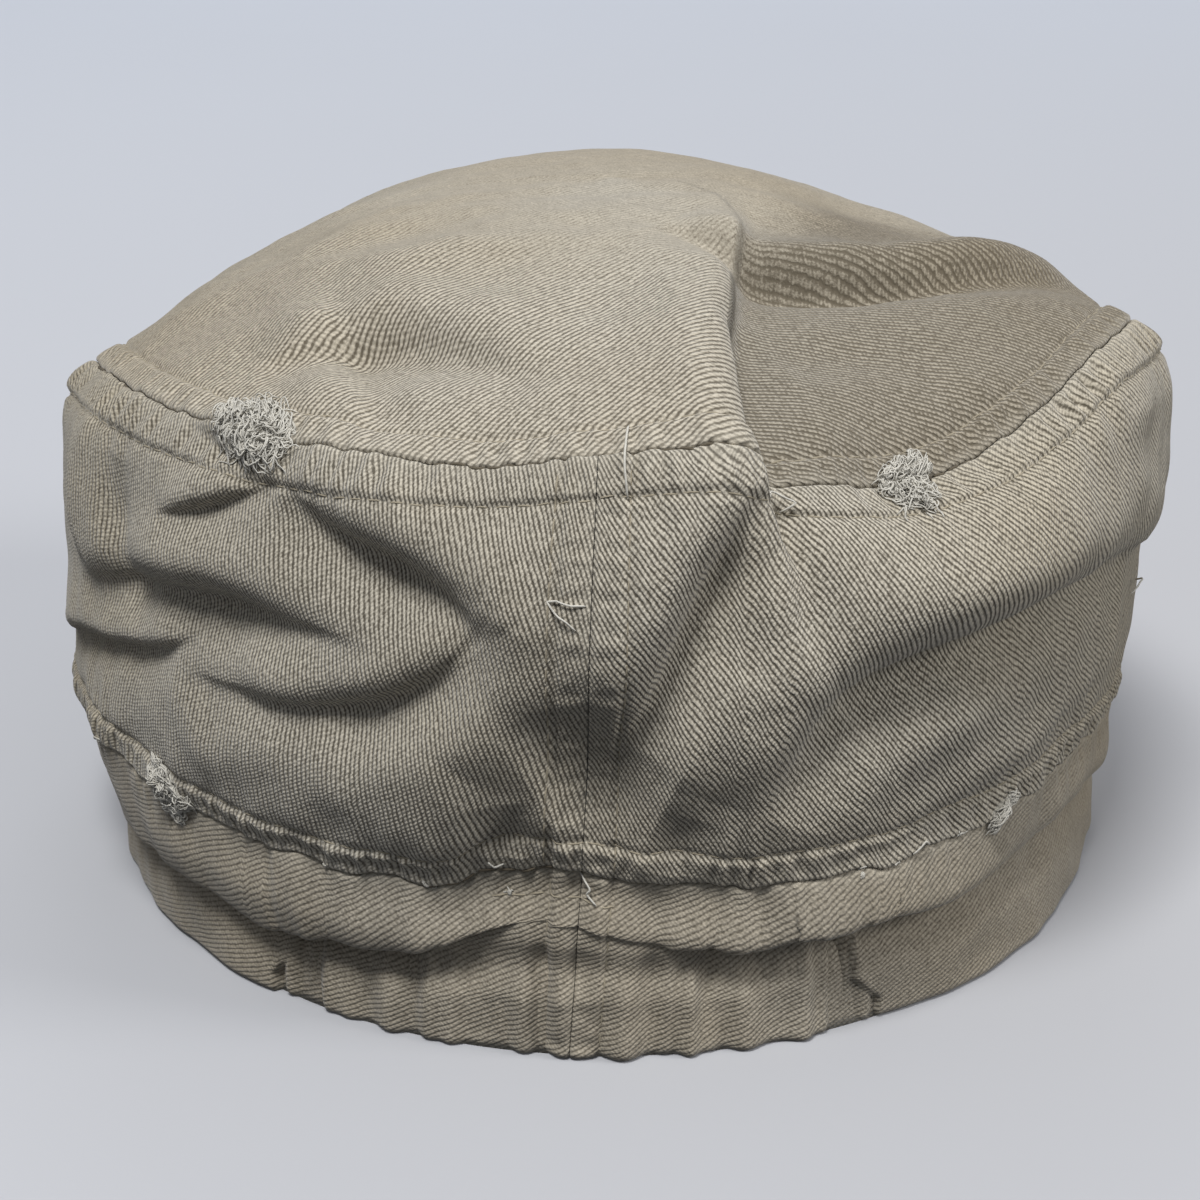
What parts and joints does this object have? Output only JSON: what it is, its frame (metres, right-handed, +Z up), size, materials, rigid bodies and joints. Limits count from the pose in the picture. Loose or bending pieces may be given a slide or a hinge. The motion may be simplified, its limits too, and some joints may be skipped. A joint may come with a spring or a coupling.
{
  "type": "cadet cap",
  "caption": "Soft cadet cap of washed khaki cotton twill with a round crown top, a slouched side wall, a gathered band and a short curved peak.",
  "frame": {"origin": "on the surface that the cap rests on, under the middle of its box", "axes": "+Z up, +Y the way the peak points, +X the wearer's right; the centre back seam is on the -Y side"},
  "size_m": [0.1925, 0.2708, 0.1145],
  "materials": {
    "crown_twill": "washed khaki cotton twill, matt, frayed in places at the seam",
    "side_twill": "washed khaki cotton twill, matt, paler along folds and seams",
    "band_twill": "washed khaki cotton twill in two layers, a little browner, gathered at the back",
    "peak_twill": "washed khaki cotton twill over a stiff blade, plain"
  },
  "bodies": {
    "root": {"crown_top": "crown_twill", "side_left": "side_twill", "side_right": "side_twill", "band_left": "band_twill", "band_right": "band_twill", "peak": "peak_twill"}
  },
  "joints": []
}
